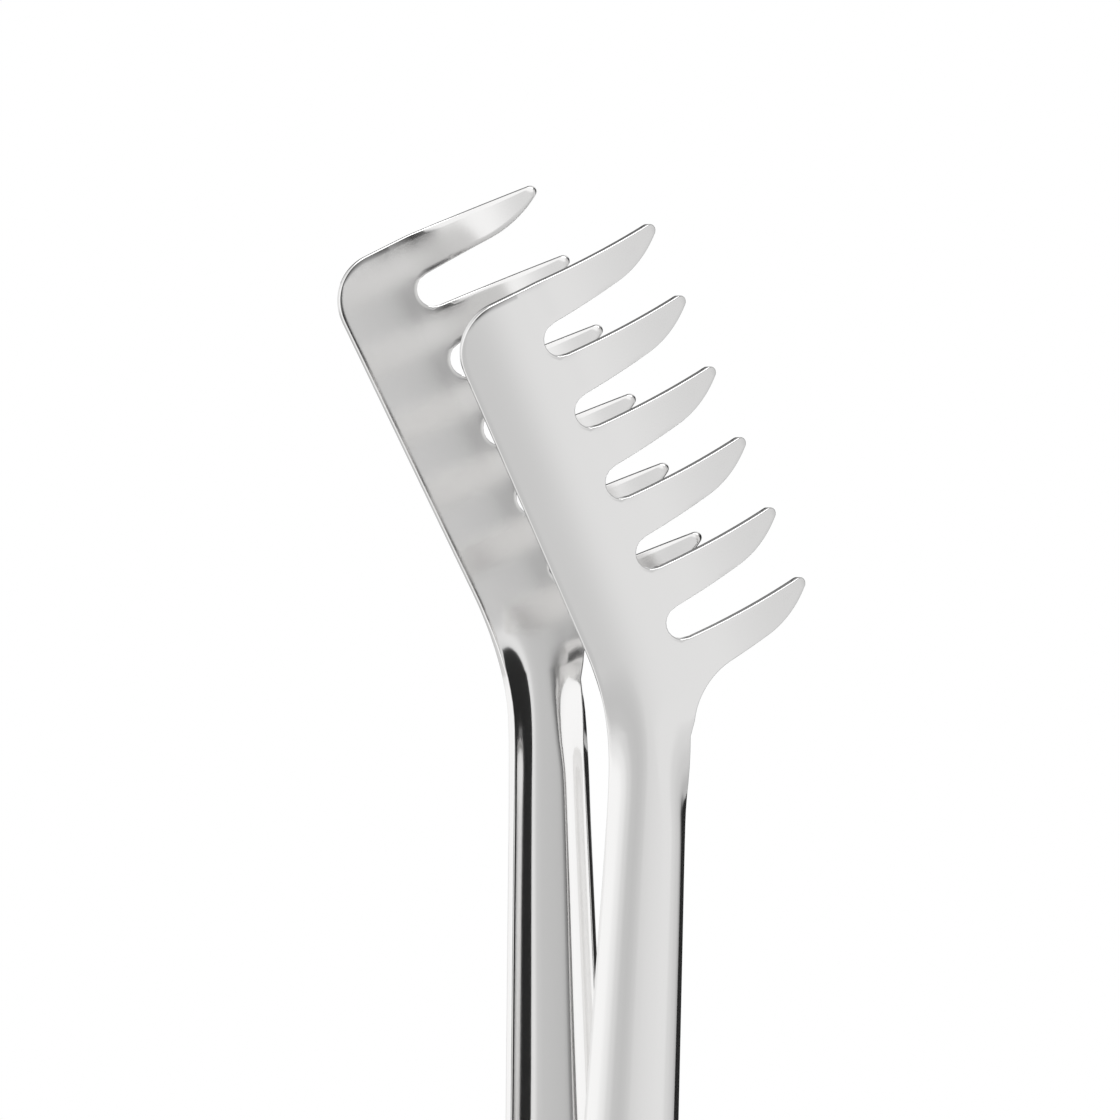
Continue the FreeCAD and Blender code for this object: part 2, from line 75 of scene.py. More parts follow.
# Arm sheet, as in the CAD model apart from its roundings, its crown and its bend into the ears
SHEET = 1.2
CROWN_RADIUS = 130.0             # the pressed face is very slightly rounded across
CROWN_HALF = 4.0
CUT_EASE = 0.07                  # bevel on the edges of holes and slots
RIM_ROUND = 0.18                 # rounding of the cut edges
HANDLE_ROUND = 0.45              # the handle's edges are eased more, for the hand
OPEN_HALF_ANGLE = 6.4
WEB_OFFSET = 8.0
NECK_HALF = 5.8
BASE_HALF = 8.75
TAPER_LOW = 30.0
BEND_START = 192.0
BEND_RADIUS = 50.0
STRAIGHT_NECK = 3.0
BETA = radians(25.5)
TINE_COUNT = 6
TINE_PITCH = 11.0
TOP_TINE = 47.4
SLOT_ROOT = 5.7
SLOT_ROOT_RADIUS = 2.45
TINE_TAPER = 0.058
SWEEP_START = 18.7
SWEEP_RADIUS = 14.5
TIP_ROUND = 0.9
CURL_START = 5.9
CURL_RADIUS = 36.0
CORNER_RADIUS = 7.0
NECK_FILLET = 9.5
BACK_ANGLE = 34.0
TINE_SIDE_ANGLE = 62.0
FLANK_LENGTH = 1.2
LEVEL_OUT = 4.0
FLANK_BEND = 5.2
NECK_BEND = 4.2
BACK_FADE = 212.0
TINE_SIDE_FADE = 204.0
FADE_LENGTH = 20.0
FULL_BEND_DROP = 60.0
SQUARE_TOP = 92.0
SQUARE_LOW = 62.0
EAR_BEND = 3.3                   # wide enough for the inner face to stay smooth round the bend
EAR_LENGTH = 16.0
EAR_TOP = 64.0
EAR_DEEP = 36.0
EAR_RADIUS = 6.5
LOBE_DROP = 14.0
LOBE_RADIUS = 5.2
WEB_END = 1.0
EAR_GAP = 0.4
LOCK_FREE = 11.5
LOCK_SLOT_HALF = 0.9
PIN_HOLES = {-1: 2.05, 1: 2.01}  # radius in the near and the far arm's ears
RIM_OUT = 0.5                    # the ears' outline ends this far beyond the flank's rim
RIM_ABOVE = 3.0                  # and this far above the ears' top

# Opening spring
WIRE = 1.0
COIL_RADIUS = 3.9
COIL_TURNS = 5
COIL_PITCH = 1.15
COIL_HALF = COIL_TURNS * COIL_PITCH / 2
COIL_SETTLE = 0.2                # how far the pitch eases off towards the end turns
LEG_REACH = 26.0
LEG_CLEAR = 0.1                  # gap between a leg and the web it presses on
WIRE_CAPS = ((0.35, 0.94), (0.7, 0.72), (0.95, 0.32))    # distance past the wire's end and width, in radii

# Mesh steps
ROW_STEP = 2.4                   # rows up the handle
NECK_ROOM = 4.0                  # the handle's even rows stop at least this far below the bend
NECK_ROWS = 6
FILLET_ROWS = 6
PATCH_STEP = 1.6                 # rows down the ears below the web
PATCH_ROWS = 8
LOBE_TURNS = (8, 22, 35, 48, 60, 70.5, 79)      # degrees down the ears' rounded lower lobe
FLAT_STEPS = 5
BEND_STEPS = 9
REST_STEPS = 2
TINE_STEPS = 10
TINE_ROWS = 26
TIP_RUN = 0.9                    # the rows stop this far before the tip's rounding
RELAX_INSET = 0.32               # the head's mesh is evened out as if its outline were this much smaller
RELAX_ROUNDS = 40
EASE_RUN = 15.0                  # the handle's rounder edges set in over this length
RIM_TURNS = (30, 60, 89.9, 90.1, 120, 150)      # degrees around the rim's rounded section
HOLE_SIDES = 48
COIL_STEPS = 36                  # points in one turn of the spring
LEG_STEPS = 19
CUTTER_HALF = 30.0               # half length of the cutting prisms, which passes both ears
SHARP_CUT = 60                   # degrees; edges sharper than this get the bevel

# Fine steps of the curves that the mesh is read from
FINE = 240
BODY_REACH = 20.0                # the section is worked out this far past the flank's end
STRIP_REACH = 40.0
ROUND_FINE = 24
FILLET_FINE = 20
EDGE_FINE = 60


def smooth(x):
    x = np.clip(x, 0.0, 1.0)
    return x * x * (3 - 2 * x)


def mix(low, high, share):
    return low + (high - low) * share


# ---------------------------------------------------------------- the arm's surface
BEND_END = BEND_START + BEND_RADIUS * BETA
FAN = np.array([-BEND_RADIUS, BEND_START])         # the neck's rows fan out from here
ACROSS = np.array([cos(BETA), sin(BETA)])          # head directions in plan
ALONG = np.array([-sin(BETA), cos(BETA)])
HEAD_START = FAN + BEND_RADIUS * ACROSS
TINES = [TOP_TINE - TINE_PITCH * i for i in range(TINE_COUNT)]
ROOT_LINE = SLOT_ROOT + SLOT_ROOT_RADIUS


def plan(along, across):
    return HEAD_START + along * ALONG + across * ACROSS


def spine(s):
    turn = min(max(s - BEND_START, 0.0) / BEND_RADIUS, BETA)
    beyond = max(s - BEND_END, 0.0)
    point = FAN + BEND_RADIUS * np.array([cos(turn), sin(turn)]) + beyond * ALONG
    if s < BEND_START:
        point = np.array([0.0, s])
    return point, turn


def station(point):
    """Spine length and offset of a plan position past the start of the bend."""
    gap = point - FAN
    turn = atan2(gap[1], gap[0])
    if turn < BETA:
        return BEND_START + BEND_RADIUS * turn, hypot(*gap) - BEND_RADIUS
    rel = point - HEAD_START
    return BEND_END + rel @ ALONG, rel @ ACROSS


def curl(point):
    across = (point - HEAD_START) @ ACROSS
    return max(across - CURL_START, 0.0) ** 2 / (2 * CURL_RADIUS)


def tine_half(across):
    return TINE_PITCH / 2 - SLOT_ROOT_RADIUS - TINE_TAPER * (across - ROOT_LINE)


LEAN = atan(TINE_TAPER)
# Outward normals of a tine's edges, as (across, above centre)
UPPER = np.array([sin(LEAN), cos(LEAN)])
LOWER = np.array([sin(LEAN), -cos(LEAN)])


def tip_circles():
    """Centres of a tine's tip rounding and of the sweep below it, as (across, above centre)."""
    sweep = np.array([SWEEP_START, -tine_half(SWEEP_START)]) - LOWER * SWEEP_RADIUS
    edge = np.array([ROOT_LINE, tine_half(ROOT_LINE)]) - UPPER * TIP_ROUND
    heading = np.array([cos(LEAN), -sin(LEAN)])
    gap = edge - sweep
    reach = (SWEEP_RADIUS - TIP_ROUND) ** 2 - gap @ gap
    return edge + heading * (sqrt((gap @ heading) ** 2 + reach) - gap @ heading), sweep


def crown(offset):
    """Depth that the face's slight rounding adds at an offset from the spine."""
    inner = min(abs(offset), CROWN_HALF)
    return inner ** 2 / (2 * CROWN_RADIUS) + (abs(offset) - inner) * inner / CROWN_RADIUS


TIP, SWEEP = tip_circles()
JOIN = (TIP - SWEEP) / hypot(*(TIP - SWEEP))
TIP_REACH = TIP[0] + TIP_ROUND
TIP_LINE = TIP[0] + TIP_ROUND * UPPER[0]           # the upper edge ends and the tip's rounding starts here

# The curl is eased by what the crown adds at the tips, so that they are as deep as in the CAD model
CURL_SHARE = 1 - crown(TIP_REACH) / curl(plan(0, TIP_REACH))


def lower_edge(across):
    """How far a tine's lower edge is above its centre line."""
    if across < SWEEP_START:
        return -tine_half(across)
    return SWEEP[1] - sqrt(SWEEP_RADIUS ** 2 - (across - SWEEP[0]) ** 2)


def ear_share(s):
    return float(smooth((EAR_TOP - s) / (EAR_TOP - EAR_DEEP)))


def half_width(s, tuck):
    taper_top = BEND_START - STRAIGHT_NECK
    rise = min(max((taper_top - s) / (taper_top - TAPER_LOW), 0.0), 1.0)
    return mix(NECK_HALF, BASE_HALF, sin(rise * pi / 2)) - tuck * ear_share(s)


class Flank:
    """One half of the channel section at spine length s, as arc length against offset and depth."""

    def __init__(self, s, side, tuck, reach=0.0):
        ear = ear_share(s)
        square = float(smooth((SQUARE_TOP - s) / (SQUARE_TOP - SQUARE_LOW)))
        full_angle, fade_end = (BACK_ANGLE, BACK_FADE) if side < 0 else (TINE_SIDE_ANGLE, TINE_SIDE_FADE)
        angle = radians(mix(full_angle, 90.0, square)) * float(smooth((fade_end - s) / FADE_LENGTH))
        full_bend = mix(NECK_BEND, FLANK_BEND, float(smooth((BEND_START - s) / FULL_BEND_DROP)))
        self.bend = mix(full_bend, EAR_BEND, square)
        straight = mix(FLANK_LENGTH, EAR_LENGTH, ear)
        shares = (np.arange(FINE) + 0.5) / FINE
        bend_in = np.cos(angle * smooth(shares)).mean() * self.bend
        self.flat = half_width(s, tuck) - bend_in - straight * cos(angle)
        self.end = self.flat + self.bend + straight
        self.arc = np.linspace(0.0, self.end + reach, FINE * 3 + 1)
        middle = (self.arc[1:] + self.arc[:-1]) / 2
        bent = smooth((middle - self.flat) / self.bend) - smooth((middle - self.end) / LEVEL_OUT)
        turn = angle * bent
        step = self.arc[1]
        self.offset = np.concatenate([[0.0], np.cumsum(np.cos(turn)) * step])
        self.depth = np.concatenate([[0.0], np.cumsum(np.sin(turn)) * step])

    def stops(self, end):
        """Arc lengths of the mesh columns from the spine out to the rim."""
        knee = self.flat + self.bend
        parts = [np.linspace(0, self.flat, FLAT_STEPS + 1), np.linspace(self.flat, knee, BEND_STEPS + 1)[1:],
                 np.linspace(knee, end, REST_STEPS + 1)[1:]]
        return np.concatenate(parts)

    def at(self, arcs):
        return np.interp(arcs, self.arc, self.offset), np.interp(arcs, self.arc, self.depth)


def ear_outline():
    """Half of the ears' outline below the flanks: heights and how far it stands out on the inner side."""
    tip = (EAR_RADIUS - LOBE_RADIUS) / LOBE_DROP
    rim_depth = Flank(EAR_TOP, -1, 0.0).depth[-1]
    rim = np.array([rim_depth - WEB_OFFSET + RIM_OUT, EAR_TOP + RIM_ABOVE])
    lift = acos(EAR_RADIUS / hypot(*rim))
    shoulder = atan2(rim[1], rim[0]) - lift
    lobe = np.linspace(-pi / 2, -atan(tip), ROUND_FINE)
    ring = np.linspace(-atan(tip), shoulder, ROUND_FINE)
    out = np.concatenate([LOBE_RADIUS * np.cos(lobe), EAR_RADIUS * np.cos(ring), rim[:1]])
    height = np.concatenate([LOBE_RADIUS * np.sin(lobe) - LOBE_DROP, EAR_RADIUS * np.sin(ring), rim[1:]])
    return height, out


EAR_HEIGHT, EAR_OUT = ear_outline()


def ear_rim(z):
    return float(np.interp(z, EAR_HEIGHT, EAR_OUT))


def flank_end(flank, s):
    """Arc length of the rim: the ears' outline near the hinge, the flank's own end above."""
    if s > EAR_TOP:
        return flank.end
    wanted = ear_rim(s) + WEB_OFFSET
    return min(float(np.interp(wanted, flank.depth, flank.arc)), flank.end)


class Sheet:
    """Points and quads of one arm's outer face, in hinge coordinates (across, depth side, up)."""

    def __init__(self):
        self.points = []
        self.faces = []

    def row(self, points):
        first = len(self.points)
        self.points += [tuple(p) for p in points]
        return list(range(first, len(self.points)))

    def join(self, low, high):
        for a, b, c, d in zip(low, low[1:], high[1:], high):
            self.faces.append((a, b, c, d))


def lift_point(point, depth):
    """Point of the outer face at a plan position: the section's depth with the curl and the crown added."""
    _, offset = station(point) if point[1] > BEND_START else (0, point[0])
    return point[0], depth + curl(point) * CURL_SHARE + crown(offset) - WEB_OFFSET, point[1]


def body_row(s, tuck, right_limit=None):
    """One row across the handle, neck or head, from the back rim to the tine side."""
    origin, turn = spine(s)
    across = np.array([cos(turn), sin(turn)])
    left, right = Flank(s, -1, tuck), Flank(s, 1, tuck, reach=BODY_REACH)
    right_end = flank_end(right, s)
    if right_limit is not None:
        right_end = float(np.interp(right_limit, right.offset, right.arc))
    left_offset, left_depth = left.at(left.stops(flank_end(left, s)))
    right_offset, right_depth = right.at(right.stops(right_end))
    offsets = np.concatenate([-left_offset[:0:-1], right_offset])
    depths = np.concatenate([left_depth[:0:-1], right_depth])
    return [lift_point(origin + o * across, d) for o, d in zip(offsets, depths)]


TOP_EDGE = TINES[0] + tine_half(ROOT_LINE)
CORNER = TOP_EDGE - CORNER_RADIUS
TOP_ROOT = TINES[0] - tine_half(ROOT_LINE)          # the top tine's lower root
LAST_SLOT = TINES[0] - TINE_PITCH / 2 - SLOT_ROOT_RADIUS


def corner_point(angle):
    """Plan point on the head's rounded top corner, from 0 at the back edge to 90 degrees at the top edge."""
    return plan(CORNER + CORNER_RADIUS * sin(angle), CORNER_RADIUS * (1 - cos(angle)) - NECK_HALF)


def along_path(path, shares, stop_short=0.0):
    """Points at shares of a path's length, which may leave out a short piece at its end."""
    gone = np.concatenate([[0.0], np.cumsum(np.hypot(*np.diff(path, axis=0).T))])
    places = np.array(shares) * (gone[-1] - stop_short)
    return np.stack([np.interp(places, gone, path[:, k]) for k in (0, 1)], 1)


def top_path():
    """Plan points from the middle of the rounded corner along the top edge to the top tine's root."""
    corner = [corner_point(a) for a in np.linspace(pi / 4, pi / 2, ROUND_FINE)]
    return np.array(corner + [plan(TOP_EDGE, ROOT_LINE)])


def head_row(along, right_limit):
    """One row across the flat head; beside the top tine the rows fan out round the top corner."""
    row = np.array(body_row(BEND_END + along, 0, right_limit))
    offsets = (row[:, [0, 2]] - plan(along, 0)) @ ACROSS
    shares = [(o - offsets[0]) / (offsets[-1] - offsets[0]) for o in offsets]
    if along <= TOP_ROOT:
        rise = max((along - LAST_SLOT) / (TOP_ROOT - LAST_SLOT), 0.0)
        start = plan(mix(LAST_SLOT, CORNER, rise) if rise else along, -NECK_HALF)
        end = plan(along, right_limit)
        return [lift_point(mix(start, end, share), 0.0) for share in shares]
    rise = (along - TOP_ROOT) / (TOP_EDGE - TOP_ROOT)
    first, last = corner_point(0), corner_point(pi / 4)
    swell = corner_point(rise * pi / 4) - mix(first, last, rise)
    lows = [mix(first, plan(TOP_ROOT, ROOT_LINE), share) for share in shares]
    return [lift_point(mix(low, high, rise) + swell * (1 - share), 0.0)
            for low, high, share in zip(lows, along_path(top_path(), shares), shares)]


def fillet():
    """Centre of the fillet under the lowest tine, and where the tine's lower edge meets it."""
    slope = BETA + LEAN
    heading = np.array([cos(slope), sin(slope)])
    inwards = np.array([sin(slope), -cos(slope)])
    start = plan(TINES[-1] - tine_half(SWEEP_START), SWEEP_START)
    base = start + inwards * NECK_FILLET
    centre = base + heading * ((NECK_HALF + NECK_FILLET - base[0]) / heading[0])
    return centre, centre - inwards * NECK_FILLET


FILLET_CENTRE, FILLET_TOUCH = fillet()


def fillet_point(angle):
    return FILLET_CENTRE + NECK_FILLET * np.array([cos(angle), sin(angle)])


SPLIT_ANGLE = radians(148)       # the lowest tine's strip starts at this place on the fillet
ARC_STEPS = [radians(a) for a in (-62, -43, -26, -8.5, 8.5, 26, 43, 62)]


def right_boundary():
    """Plan points of the body's right side from the fillet's foot to the top edge, with tine roots marked."""
    points = [(fillet_point(a), None) for a in np.linspace(pi, SPLIT_ANGLE, FILLET_ROWS + 2)[1:-1]]
    slots = [centre - TINE_PITCH / 2 for centre in TINES[:-1]][::-1]
    start = fillet_point(SPLIT_ANGLE)
    for index, centre in enumerate(TINES[::-1]):
        last = index == TINE_COUNT - 1
        high = centre + tine_half(ROOT_LINE)
        end = plan(high, ROOT_LINE)
        tine = TINE_COUNT - 1 - index
        points += [(mix(start, end, j / TINE_STEPS), tine) for j in range(TINE_STEPS + 1)]
        if last:
            break
        slot = slots[index]
        for angle in ARC_STEPS:
            arc = plan(slot + SLOT_ROOT_RADIUS * sin(angle), ROOT_LINE - SLOT_ROOT_RADIUS * cos(angle))
            points.append((arc, None))
        start = plan(slot + SLOT_ROOT_RADIUS, ROOT_LINE)
    return points


def lower_side(tine):
    """Plan points along a tine's lower edge, from its root to the tip's rounding."""
    path, start = [], ROOT_LINE
    if tine == TINE_COUNT - 1:
        touch = atan2(*(FILLET_TOUCH - FILLET_CENTRE)[::-1])
        path = [fillet_point(a) for a in np.linspace(SPLIT_ANGLE, touch, FILLET_FINE)]
        start = (FILLET_TOUCH - HEAD_START) @ ACROSS
    end = SWEEP[0] + JOIN[0] * SWEEP_RADIUS
    path += [plan(TINES[tine] + lower_edge(x), x) for x in np.linspace(start, end, EDGE_FINE)]
    return np.array(path)


def tine_strip(sheet, root, tine):
    """Quads of one tine from its root row to its rounded tip."""
    centre = TINES[tine]
    lows = along_path(lower_side(tine), np.linspace(0, 1, TINE_ROWS + 1), TIP_RUN)
    upper = np.linspace(ROOT_LINE, TIP_LINE - TIP_RUN, TINE_ROWS + 1)
    highs = [plan(centre + tine_half(x), x) for x in upper]
    shares = np.linspace(0, 1, TINE_STEPS + 1)
    previous = root
    for low, high in zip(lows[1:], highs[1:]):
        base = [mix(low, high, share) for share in shares]
        previous = strip_row(sheet, previous, base)
    turns = np.linspace(atan2(JOIN[1], JOIN[0]), pi / 2 - LEAN, TINE_STEPS + 1)
    tip = [plan(centre + TIP[1] + TIP_ROUND * sin(a), TIP[0] + TIP_ROUND * cos(a)) for a in turns]
    for share in (0.5, 1.0):
        previous = strip_row(sheet, previous, [mix(b, t, share) for b, t in zip(base, tip)])


def strip_row(sheet, previous, plan_points):
    points = []
    for point in plan_points:
        s, offset = station(point)
        depth = 0.0
        if s < TINE_SIDE_FADE:
            side = Flank(s, 1, 0.0, reach=STRIP_REACH)
            depth = float(np.interp(offset, side.offset, side.depth))
        points.append(lift_point(point, depth))
    made = sheet.row(points)
    sheet.join(made, previous)
    return made


def lobe_patch(sheet, top, sign, x):
    """The ear below the web's end, down to its rounded lower lobe."""
    straight = [WEB_END - PATCH_STEP * i for i in range(1, PATCH_ROWS + 1)]
    lobe = [-LOBE_DROP - LOBE_RADIUS * sin(radians(turn)) for turn in LOBE_TURNS]
    previous = top
    for z in straight + lobe:
        out = ear_rim(z)
        spread = np.linspace(-out, out, REST_STEPS + 1)
        ys = spread if sign > 0 else spread[::-1]
        made = sheet.row([(x, y, z) for y in ys])
        sheet.join(made, previous)
        previous = made


def arm_sheet(tuck):
    """Outer face of one arm; tuck is how far its ears are set in, to fit inside the other arm's."""
    sheet = Sheet()
    handle = list(np.arange(WEB_END, BEND_START - NECK_ROOM, ROW_STEP))
    foot, _ = station(fillet_point(pi))
    neck = list(np.linspace(handle[-1], foot, NECK_ROWS + 2)[1:-1])
    rows = [sheet.row(body_row(s, tuck)) for s in handle + neck]
    lower = rows[0]
    roots = {}
    for point, tine in [(fillet_point(pi), None)] + right_boundary():
        s, offset = station(point)
        row = body_row(s, tuck, offset) if s < BEND_END else head_row(s - BEND_END, offset)
        rows.append(sheet.row(row))
        if tine is not None:
            roots.setdefault(tine, []).append(rows[-1][-1])
    for low, high in zip(rows, rows[1:]):
        sheet.join(low, high)
    for tine, root in roots.items():
        tine_strip(sheet, root, tine)
    side_x = BASE_HALF - tuck
    lobe_patch(sheet, lower[:REST_STEPS + 1], -1, -side_x)
    lobe_patch(sheet, lower[-REST_STEPS - 1:], 1, side_x)
    relax(sheet)
    return sheet


def relax(sheet):
    """Evens out the head's inner points in plan, so that no row lies against the outline."""
    quads = np.array(sheet.faces)
    flat = np.array(sheet.points)[:, [0, 2]]
    loop = rim_loop(quads)
    outline = flat[loop]
    run = np.roll(outline, -1, axis=0) - np.roll(outline, 1, axis=0)
    high = outline[:, 1] > BEND_START
    flat[loop[high]] = outline[high] + unit(np.stack([-run[high, 1], run[high, 0]], 1)) * RELAX_INSET
    pairs = np.concatenate([quads[:, [k, (k + 1) % 4]] for k in range(4)])
    pairs = np.unique(np.sort(pairs, axis=1), axis=0)
    shares = np.bincount(pairs.ravel(), minlength=len(flat))[:, None]
    free = np.ones(len(flat), bool)
    free[loop] = False
    for number in np.flatnonzero(free):
        s, offset = station(flat[number]) if flat[number, 1] > BEND_START else (0.0, 0.0)
        free[number] = s > BACK_FADE or (offset > 0 and s > TINE_SIDE_FADE)
    for _ in range(RELAX_ROUNDS):
        total = np.zeros_like(flat)
        np.add.at(total, pairs[:, 0], flat[pairs[:, 1]])
        np.add.at(total, pairs[:, 1], flat[pairs[:, 0]])
        flat[free] = (total / shares)[free]
    for number in np.flatnonzero(free):
        sheet.points[number] = lift_point(flat[number], 0.0)


def rim_loop(quads):
    """The sheet's outer edge as vertex numbers, in the direction of its faces."""
    edges = {(a, b) for quad in quads for a, b in zip(quad, np.roll(quad, -1))}
    follow = {a: b for a, b in edges if (b, a) not in edges}
    loop = [min(follow)]
    for _ in range(len(follow) - 1):
        loop.append(follow[loop[-1]])
    return np.array(loop)


def unit(vectors):
    return vectors / np.linalg.norm(vectors, axis=1)[:, None]


def thicken(points, faces):
    """Closes the outer face into a sheet with an evenly rounded rim."""
    points, quads = np.array(points), np.array(faces)
    count = len(points)
    spans = points[quads]
    face_normals = np.cross(spans[:, 2] - spans[:, 0], spans[:, 3] - spans[:, 1])
    normals = np.zeros_like(points)
    for corner in range(4):
        np.add.at(normals, quads[:, corner], face_normals)
    normals = unit(normals)
    loop = rim_loop(quads)
    edge, out = points[loop], normals[loop]
    inward = unit(np.cross(out, np.roll(edge, -1, axis=0) - np.roll(edge, 1, axis=0)))
    handle = smooth((BEND_START - edge[:, 2:]) / EASE_RUN) * smooth((edge[:, 2:] - EAR_TOP) / EASE_RUN)
    ease = mix(RIM_ROUND, HANDLE_ROUND, handle)
    points[loop] = edge + inward * ease
    rings = []
    for degree in RIM_TURNS:
        turn = radians(degree)
        side = 1 if degree < 90 else -1
        level = ease if side > 0 else SHEET - ease
        rings.append(edge + inward * ease * (1 - sin(turn)) - out * (level - ease * cos(turn)))
    made = [points, points - normals * SHEET] + rings
    around = [2 * count + len(loop) * k + np.arange(len(loop)) for k in range(len(rings))]
    numbers = [loop] + around + [loop + count]
    solid = [tuple(q) for q in quads] + [tuple(q[::-1] + count) for q in quads]
    for low, high in zip(numbers, numbers[1:]):
        solid += list(zip(np.roll(low, -1), low, high, np.roll(high, -1)))
    return np.concatenate(made), [tuple(int(i) for i in face) for face in solid]


# ---------------------------------------------------------------- meshes
def link(obj):
    bpy.context.scene.collection.objects.link(obj)
    return obj


def mesh_object(name, points, faces):
    mesh = bpy.data.meshes.new(name)
    mesh.from_pydata([tuple(p) for p in points], [], faces)
    mesh.update()
    return link(bpy.data.objects.new(name, mesh))


def bake(obj):
    """Applies the object's modifiers to its mesh."""
    graph = bpy.context.evaluated_depsgraph_get()
    final = bpy.data.meshes.new_from_object(obj.evaluated_get(graph), depsgraph=graph)
    obj.modifiers.clear()
    obj.data = final
    return obj


def soften(obj, sharp_angle=38):
    """Smooth shading that breaks only at edges sharper than the angle."""
    mesh = obj.data
    work = bmesh.new()
    work.from_mesh(mesh)
    for face in work.faces:
        face.smooth = True
    limit = radians(sharp_angle)
    for edge in work.edges:
        edge.smooth = len(edge.link_faces) == 2 and edge.calc_face_angle(0.0) < limit
    work.to_mesh(mesh)
    work.free()
    weighted = obj.modifiers.new("normals", "WEIGHTED_NORMAL")
    weighted.keep_sharp = True
    weighted.weight = 80
    return obj


def cutter(outline, half_length):
    """Prism along X from a closed side-view outline of (y, z) points in hinge millimetres."""
    count = len(outline)
    points = [(x * MM, y * MM, z * MM + HINGE.z) for x in (-half_length, half_length) for y, z in outline]
    faces = [tuple(range(count))[::-1], tuple(range(count, 2 * count))]
    faces += [(i, (i + 1) % count, count + (i + 1) % count, count + i) for i in range(count)]
    obj = mesh_object("cutter", points, faces)
    work = bmesh.new()
    work.from_mesh(obj.data)
    bmesh.ops.recalc_face_normals(work, faces=work.faces)
    work.to_mesh(obj.data)
    work.free()
    return obj


def cut(obj, outlines):
    for outline in outlines:
        tool = cutter(outline, CUTTER_HALF)
        boolean = obj.modifiers.new("cut", "BOOLEAN")
        boolean.operation = "DIFFERENCE"
        boolean.solver = "EXACT"
        boolean.object = tool
        bake(obj)
        bpy.data.objects.remove(tool)
    ease = obj.modifiers.new("ease", "BEVEL")
    ease.width = CUT_EASE * MM
    ease.segments = 2
    ease.limit_method = "ANGLE"
    ease.angle_limit = radians(SHARP_CUT)
    ease.use_clamp_overlap = False
    bake(obj)


def polar(radius, angle):
    return radius * sin(angle), -radius * cos(angle)


def rounded(centre, radius, start, end, steps=12):
    """Points of an arc, with both of its ends."""
    turns = np.linspace(start, end, steps)
    return [(centre[0] + radius * cos(turn), centre[1] + radius * sin(turn)) for turn in turns]


def straight_slot():
    nose = rounded((0, -LOCK_FREE), LOCK_SLOT_HALF, 0, pi)
    tail = rounded((0, -LOCK_FREE - LOCK_TRAVEL), LOCK_SLOT_HALF, pi, 2 * pi)
    return nose + tail


def gate_slot():
    """Two radial legs joined by an arc, for the lock pin with the arms open, moving and closed."""
    turn = radians(CLOSED_TRAVEL)
    inner, outer = LOCK_FREE - LOCK_SLOT_HALF, LOCK_FREE + LOCK_SLOT_HALF
    deep = LOCK_FREE + LOCK_TRAVEL
    edge = side_share(LOCK_SLOT_HALF, outer)
    first = rounded(polar(deep, 0), LOCK_SLOT_HALF, pi, 2 * pi)
    arc = [polar(outer, a) for a in np.linspace(edge, turn - edge, 10)]
    second = rounded(polar(deep, turn), LOCK_SLOT_HALF, pi + turn, 2 * pi + turn)
    close = rounded(polar(LOCK_FREE, turn), LOCK_SLOT_HALF, turn, turn + pi / 2, 6)
    back = [polar(inner, a) for a in np.linspace(turn, 0, 10)]
    start = rounded(polar(LOCK_FREE, 0), LOCK_SLOT_HALF, pi / 2, pi, 6)
    return first + arc + second + close + back[1:-1] + start


def side_share(half, radius):
    """Angle at which a slot of this half width meets a circle about the hinge."""
    return atan(half / sqrt(radius ** 2 - half ** 2))


def arm(name, side, tuck, slot):
    """One finished arm; side -1 is the near arm on -Y, side 1 the far arm."""
    sheet = arm_sheet(tuck)
    tilt = radians(OPEN_HALF_ANGLE)
    solid, faces = thicken(sheet.points, sheet.faces)
    points = []
    for x, y, z in solid:
        turned_y = y * cos(tilt) - z * sin(tilt)
        turned_z = y * sin(tilt) + z * cos(tilt)
        points.append((x * MM, -side * turned_y * MM, turned_z * MM + HINGE.z))
    obj = mesh_object(name, points, faces if side < 0 else [face[::-1] for face in faces])
    hole = rounded((0, 0), PIN_HOLES[side], 0, 2 * pi, HOLE_SIDES + 1)[:-1]
    cut(obj, [slot, hole])
    soften(obj)
    return obj


def tube(name, path, radius, sides=14):
    """Round wire along a path of points in hinge millimetres, with rounded ends."""
    path = np.array(path, float)
    heading = np.gradient(path, axis=0)
    heading /= np.linalg.norm(heading, axis=1)[:, None]
    up = np.array([1.0, 0.0, 0.0])
    rings = []
    for place, way in zip(path, heading):
        up = up - way * (up @ way)
        up /= np.linalg.norm(up)
        rings.append((place, up.copy(), np.cross(way, up)))
    first, last = rings[0], rings[-1]
    chain = [(first[0] - heading[0] * radius * r, first[1], first[2], f) for r, f in WIRE_CAPS[::-1]]
    chain += [ring + (1.0,) for ring in rings]
    chain += [(last[0] + heading[-1] * radius * r, last[1], last[2], f) for r, f in WIRE_CAPS]
    points = []
    for place, a, b, share in chain:
        for k in range(sides):
            turn = 2 * pi * k / sides
            p = (place + (a * cos(turn) + b * sin(turn)) * radius * share) * MM
            points.append((p[0], p[1], p[2] + HINGE.z))
    faces = []
    for i in range(len(chain) - 1):
        for k in range(sides):
            n = (k + 1) % sides
            faces.append((i * sides + k, i * sides + n, (i + 1) * sides + n, (i + 1) * sides + k))
    faces.append(tuple(range(sides))[::-1])
    faces.append(tuple(range((len(chain) - 1) * sides, len(chain) * sides)))
    return mesh_object(name, points, faces)


